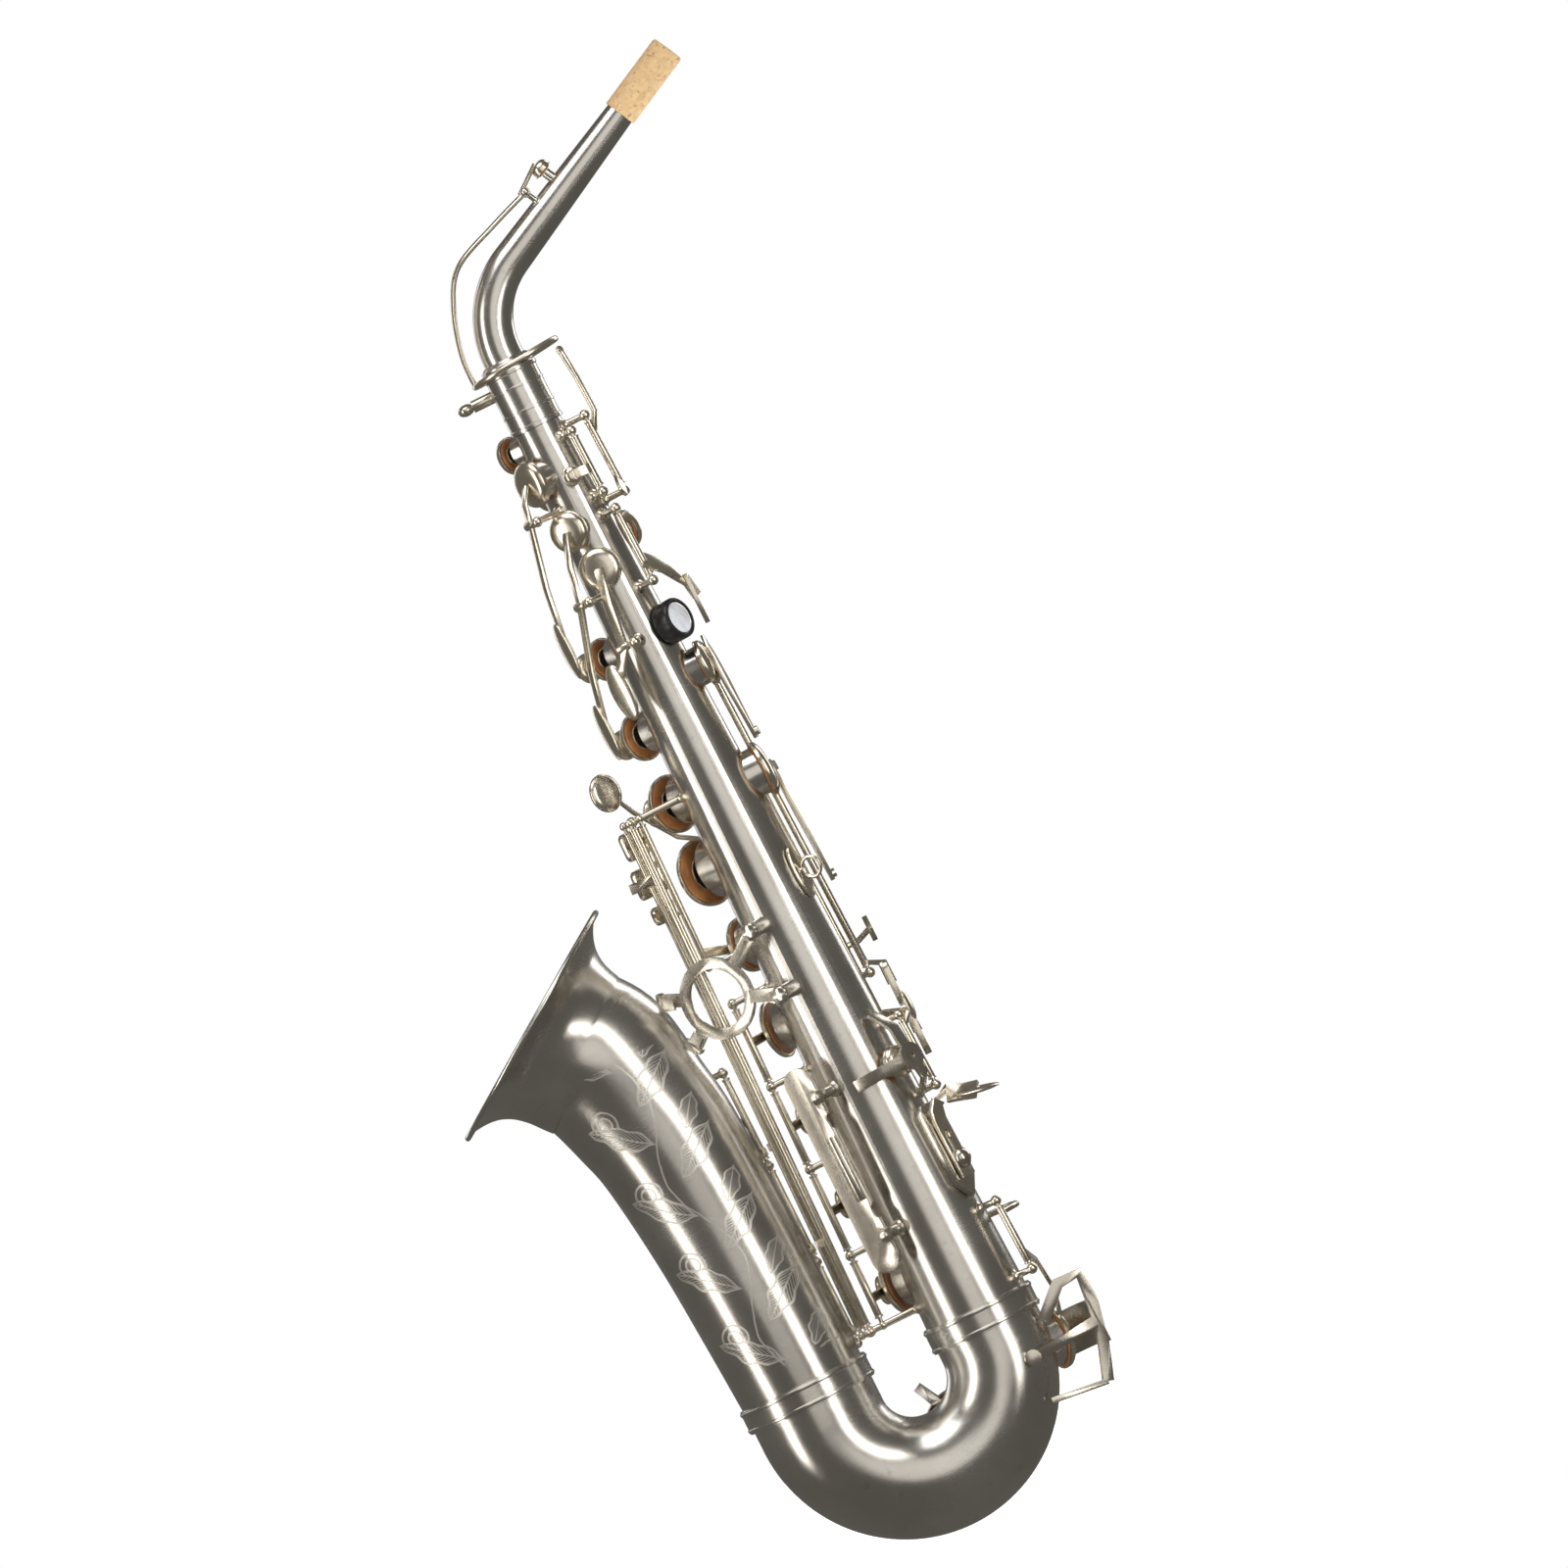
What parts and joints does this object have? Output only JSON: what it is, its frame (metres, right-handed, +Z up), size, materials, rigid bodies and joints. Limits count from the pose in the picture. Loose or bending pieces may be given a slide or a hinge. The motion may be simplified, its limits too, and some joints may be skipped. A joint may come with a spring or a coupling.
{
  "type": "alto saxophone",
  "caption": "Alto saxophone without its mouthpiece: conical body, upturned bell and removable neck, with sprung keys on rods, palm, side and little finger keys, octave linkage and guards",
  "frame": {"origin": "centre of the strap ring behind the body tube", "axes": "+Z up along the body tube's axis, +X towards the player and the neck's tip, -X towards the bell, -Y the player's left hand side"},
  "size_m": [0.3256, 0.1265, 0.7094],
  "materials": {
    "satin_silver": "brushed satin nickel silver",
    "keywork_silver": "polished warm nickel silver",
    "sheet_silver": "satin sheet metal",
    "pad_leather": "tan leather",
    "cork": "cork",
    "black_plastic": "black plastic",
    "pearl": "pearl"
  },
  "bodies": {
    "body": {"bell": "satin_silver", "bell_bow_ferrule": "satin_silver", "bell_brace": "sheet_silver", "bell_key_guard": "sheet_silver", "body_bow_ferrule": "satin_silver", "body_tube": "satin_silver", "bow": "satin_silver", "brace_screw_lower": "keywork_silver", "brace_screw_upper": "keywork_silver", "low_C_guard": "sheet_silver", "low_E_flat_guard": "sheet_silver", "neck_receiver": "satin_silver", "stack_guard": "sheet_silver", "strap_ring": "keywork_silver", "thumb_hook": "keywork_silver", "thumb_hook_plate": "sheet_silver", "thumb_hook_screw": "keywork_silver", "thumb_rest": "black_plastic", "thumb_rest_pearl": "pearl", "trill_key_guard": "sheet_silver"},
    "neck": {"neck_cork": "cork", "neck_tube": "satin_silver"},
    "clamp_screw": {"neck_clamp_screw": "keywork_silver"},
    "palm_F_key": {"palm_F_key": "keywork_silver"},
    "palm_E_flat_key": {"palm_E_flat_key": "keywork_silver"},
    "palm_D_key": {"palm_D_key": "keywork_silver"},
    "side_E_key": {"side_E_key": "keywork_silver"},
    "side_C_key": {"side_C_key": "keywork_silver"},
    "side_B_flat_key": {"side_B_flat_key": "keywork_silver"},
    "high_F_sharp_key": {"high_F_sharp_key": "keywork_silver"},
    "F_sharp_trill_key": {"F_sharp_trill_key": "keywork_silver"},
    "G_sharp_key": {"G_sharp_key": "keywork_silver"},
    "low_E_flat_key": {"low_E_flat_key": "keywork_silver"},
    "body_octave_key": {"body_octave_key": "keywork_silver"},
    "C_key": {"C_key": "keywork_silver"},
    "B_key": {"B_key": "keywork_silver", "B_pad": "pad_leather"},
    "A_key": {"A_key": "keywork_silver", "A_pad": "pad_leather"},
    "G_key": {"G_key": "keywork_silver", "G_pad": "pad_leather"},
    "F_key": {"F_key": "keywork_silver", "F_pad": "pad_leather"},
    "E_key": {"E_key": "keywork_silver", "E_pad": "pad_leather"},
    "D_key": {"D_key": "keywork_silver", "D_pad": "pad_leather"},
    "F_sharp_key": {"F_sharp_key": "keywork_silver", "F_sharp_pad": "pad_leather"},
    "high_vent_key": {"high_vent_key": "keywork_silver"},
    "low_C_key": {"low_C_key": "keywork_silver"},
    "C_sharp_lever": {"C_sharp_lever": "keywork_silver"},
    "B_lever": {"B_lever": "keywork_silver"},
    "B_flat_lever": {"B_flat_lever": "keywork_silver"},
    "low_C_sharp_key": {"low_C_sharp_key": "keywork_silver"},
    "low_B_key": {"low_B_key": "keywork_silver"},
    "low_B_flat_key": {"low_B_flat_key": "keywork_silver"},
    "thumb_octave_lever": {"thumb_octave_lever": "keywork_silver"},
    "octave_rocker": {"octave_rocker": "keywork_silver"},
    "neck_octave_key": {"neck_octave_key": "keywork_silver"}
  },
  "joints": [
    {"name": "neck_turn", "type": "hinge", "parent": "body", "child": "neck", "pos_m": [-0.02357, 0.0153, 0.2793], "axis": [0, 0, 1], "range_deg": [-30, 30]},
    {"name": "clamp_screw_turn", "type": "hinge", "parent": "body", "child": "clamp_screw", "pos_m": [-0.05357, 0.0331, 0.2713], "axis": [1, 0, 0], "range_deg": [-360, 0]},
    {"name": "palm_F_press", "type": "hinge", "parent": "body", "child": "palm_F_key", "pos_m": [-0.04784, -0.00233, 0.207], "axis": [0.5878, -0.809, 0], "range_deg": [0, 7], "stiffness_Nm_per_rad": 0.08, "springref_deg": -8.59},
    {"name": "palm_E_flat_press", "type": "hinge", "parent": "body", "child": "palm_E_flat_key", "pos_m": [-0.04364, -0.00699, 0.1613], "axis": [0.7431, -0.6691, 0], "range_deg": [0, 3], "stiffness_Nm_per_rad": 0.08, "springref_deg": -8.59},
    {"name": "palm_D_press", "type": "hinge", "parent": "body", "child": "palm_D_key", "pos_m": [-0.03383, -0.01289, 0.1343], "axis": [0.9397, -0.342, 0], "range_deg": [0, 7], "stiffness_Nm_per_rad": 0.08, "springref_deg": -8.59},
    {"name": "side_E_press", "type": "hinge", "parent": "body", "child": "side_E_key", "pos_m": [-0.01258, 0.0425, -0.0527], "axis": [-0.0112, -0.0278, 0.9996], "range_deg": [0, 12], "stiffness_Nm_per_rad": 0.08, "springref_deg": -8.59},
    {"name": "side_C_press", "type": "hinge", "parent": "body", "child": "side_C_key", "pos_m": [0.00249, 0.03717, -0.0587], "axis": [-0.023, -0.0193, 0.9996], "range_deg": [0, 10], "stiffness_Nm_per_rad": 0.08, "springref_deg": -8.59},
    {"name": "side_B_flat_press", "type": "hinge", "parent": "body", "child": "side_B_flat_key", "pos_m": [-0.00209, 0.0409, -0.0887], "axis": [-0.0193, -0.023, 0.9996], "range_deg": [0, 9], "stiffness_Nm_per_rad": 0.08, "springref_deg": -8.59},
    {"name": "high_F_sharp_press", "type": "hinge", "parent": "body", "child": "high_F_sharp_key", "pos_m": [-0.02252, 0.04514, -0.0367], "axis": [0.001, 0.03, -0.9996], "range_deg": [0, 12], "stiffness_Nm_per_rad": 0.08, "springref_deg": -8.59},
    {"name": "F_sharp_trill_press", "type": "hinge", "parent": "body", "child": "F_sharp_trill_key", "pos_m": [0.00685, 0.00423, -0.1207], "axis": [-0.0282, 0.0103, 0.9996], "range_deg": [0, 6.5], "stiffness_Nm_per_rad": 0.08, "springref_deg": -8.59},
    {"name": "G_sharp_press", "type": "hinge", "parent": "body", "child": "G_sharp_key", "pos_m": [-0.06613, 0.01275, -0.0217], "axis": [0.0246, -0.0172, 0.9996], "range_deg": [0, 9], "stiffness_Nm_per_rad": 0.08, "springref_deg": -8.59},
    {"name": "low_E_flat_press", "type": "hinge", "parent": "body", "child": "low_E_flat_key", "pos_m": [0.00874, 0.00092, -0.2207], "axis": [0.0274, -0.0122, -0.9996], "range_deg": [0, 8], "stiffness_Nm_per_rad": 0.08, "springref_deg": -8.59},
    {"name": "body_octave_lift", "type": "hinge", "parent": "body", "child": "body_octave_key", "pos_m": [-0.00928, 0.00052, 0.2063], "axis": [-0.0208, 0.0216, 0.9996], "range_deg": [0, 12], "stiffness_Nm_per_rad": 0.08, "springref_deg": -8.59},
    {"name": "C_press", "type": "hinge", "parent": "body", "child": "C_key", "pos_m": [-0.03286, 0.04623, 0.1133], "axis": [-0.0246, 0.0172, -0.9996], "range_deg": [-12, 0], "stiffness_Nm_per_rad": 0.08, "springref_deg": 8.59},
    {"name": "B_press", "type": "hinge", "parent": "body", "child": "B_key", "pos_m": [-0.03379, 0.04688, 0.0753], "axis": [-0.0246, 0.0172, -0.9996], "range_deg": [-12, 0], "stiffness_Nm_per_rad": 0.08, "springref_deg": 8.59},
    {"name": "A_press", "type": "hinge", "parent": "body", "child": "A_key", "pos_m": [-0.03468, 0.0475, 0.0393], "axis": [-0.0246, 0.0172, -0.9996], "range_deg": [-12, 0], "stiffness_Nm_per_rad": 0.08, "springref_deg": 8.59},
    {"name": "G_press", "type": "hinge", "parent": "body", "child": "G_key", "pos_m": [-0.03561, 0.04816, 0.0013], "axis": [-0.0246, 0.0172, -0.9996], "range_deg": [-12, 0], "stiffness_Nm_per_rad": 0.08, "springref_deg": 8.59},
    {"name": "F_press", "type": "hinge", "parent": "body", "child": "F_key", "pos_m": [-0.06573, 0.01553, -0.1307], "axis": [0.0246, -0.0172, 0.9996], "range_deg": [-12, 0], "stiffness_Nm_per_rad": 0.08, "springref_deg": 8.59},
    {"name": "E_press", "type": "hinge", "parent": "body", "child": "E_key", "pos_m": [-0.06686, 0.01632, -0.1767], "axis": [0.0246, -0.0172, 0.9996], "range_deg": [-12, 0], "stiffness_Nm_per_rad": 0.08, "springref_deg": 8.59},
    {"name": "D_press", "type": "hinge", "parent": "body", "child": "D_key", "pos_m": [-0.06775, 0.01694, -0.2127], "axis": [0.0246, -0.0172, 0.9996], "range_deg": [-12, 0], "stiffness_Nm_per_rad": 0.08, "springref_deg": 8.59},
    {"name": "F_sharp_close", "type": "hinge", "parent": "body", "child": "F_sharp_key", "pos_m": [-0.06465, 0.01477, -0.0867], "axis": [0.0246, -0.0172, 0.9996], "range_deg": [-12, 0], "stiffness_Nm_per_rad": 0.02, "springref_deg": 8.59},
    {"name": "high_vent_close", "type": "hinge", "parent": "body", "child": "high_vent_key", "pos_m": [-0.02701, 0.03481, 0.2313], "axis": [-0.0052, 0.0295, -0.9996], "range_deg": [-12, 0], "stiffness_Nm_per_rad": 0.02, "springref_deg": 8.59},
    {"name": "low_C_press", "type": "hinge", "parent": "body", "child": "low_C_key", "pos_m": [-0.02166, 0.05162, -0.2207], "axis": [0.0016, 0.0299, -0.9996], "range_deg": [-8, 0], "stiffness_Nm_per_rad": 0.08, "springref_deg": 8.59},
    {"name": "C_sharp_lever_press", "type": "hinge", "parent": "body", "child": "C_sharp_lever", "pos_m": [-0.07469, 0.01753, -0.2137], "axis": [-0.0246, 0.0172, -0.9996], "range_deg": [0, 8], "stiffness_Nm_per_rad": 0.08, "springref_deg": -8.59},
    {"name": "B_lever_press", "type": "hinge", "parent": "body", "child": "B_lever", "pos_m": [-0.07605, 0.01299, -0.2137], "axis": [-0.0246, 0.0172, -0.9996], "range_deg": [0, 6], "stiffness_Nm_per_rad": 0.08, "springref_deg": -8.59},
    {"name": "B_flat_lever_press", "type": "hinge", "parent": "body", "child": "B_flat_lever", "pos_m": [-0.07912, 0.01819, -0.2137], "axis": [-0.0246, 0.0172, -0.9996], "range_deg": [0, 8], "stiffness_Nm_per_rad": 0.08, "springref_deg": -8.59},
    {"name": "low_C_sharp_close", "type": "hinge", "parent": "body", "child": "low_C_sharp_key", "pos_m": [-0.08311, 0.04408, -0.2167], "axis": [0, 0, -1], "range_deg": [-8, 0], "stiffness_Nm_per_rad": 0.02, "springref_deg": 8.59},
    {"name": "low_B_close", "type": "hinge", "parent": "body", "child": "low_B_key", "pos_m": [-0.08311, 0.04408, -0.1727], "axis": [0, 0, -1], "range_deg": [-8, 0], "stiffness_Nm_per_rad": 0.02, "springref_deg": 8.59},
    {"name": "low_B_flat_close", "type": "hinge", "parent": "body", "child": "low_B_flat_key", "pos_m": [-0.08311, 0.04408, -0.1207], "axis": [0, 0, -1], "range_deg": [-8, 0], "stiffness_Nm_per_rad": 0.02, "springref_deg": 8.59},
    {"name": "thumb_octave_press", "type": "hinge", "parent": "body", "child": "thumb_octave_lever", "pos_m": [-0.00665, -0.00382, 0.1573], "axis": [-0.0199, 0.0225, 0.9996], "range_deg": [0, 8], "stiffness_Nm_per_rad": 0.08, "springref_deg": -8.59},
    {"name": "octave_rocker_turn", "type": "hinge", "parent": "body", "child": "octave_rocker", "pos_m": [0.00038, 0.00933, 0.2023], "axis": [0.0291, -0.0073, -0.9996], "range_deg": [0, 6], "stiffness_Nm_per_rad": 0.02, "springref_deg": -5.73},
    {"name": "neck_octave_lift", "type": "hinge", "parent": "neck", "child": "neck_octave_key", "pos_m": [0.02143, 0.0153, 0.3523], "axis": [0, -1, 0], "range_deg": [0, 2.4], "stiffness_Nm_per_rad": 0.05, "springref_deg": -5.73}
  ],
  "couplings": [
    {"joint": "F_sharp_close", "follows": "F_press", "ratio": 1},
    {"joint": "high_vent_close", "follows": "C_press", "ratio": 1},
    {"joint": "low_C_sharp_close", "follows": "C_sharp_lever_press", "ratio": -1},
    {"joint": "low_B_close", "follows": "B_lever_press", "ratio": -1.3333},
    {"joint": "low_B_flat_close", "follows": "B_flat_lever_press", "ratio": -1},
    {"joint": "octave_rocker_turn", "follows": "thumb_octave_press", "ratio": 0.75},
    {"joint": "neck_octave_lift", "follows": "thumb_octave_press", "ratio": 0.3}
  ]
}
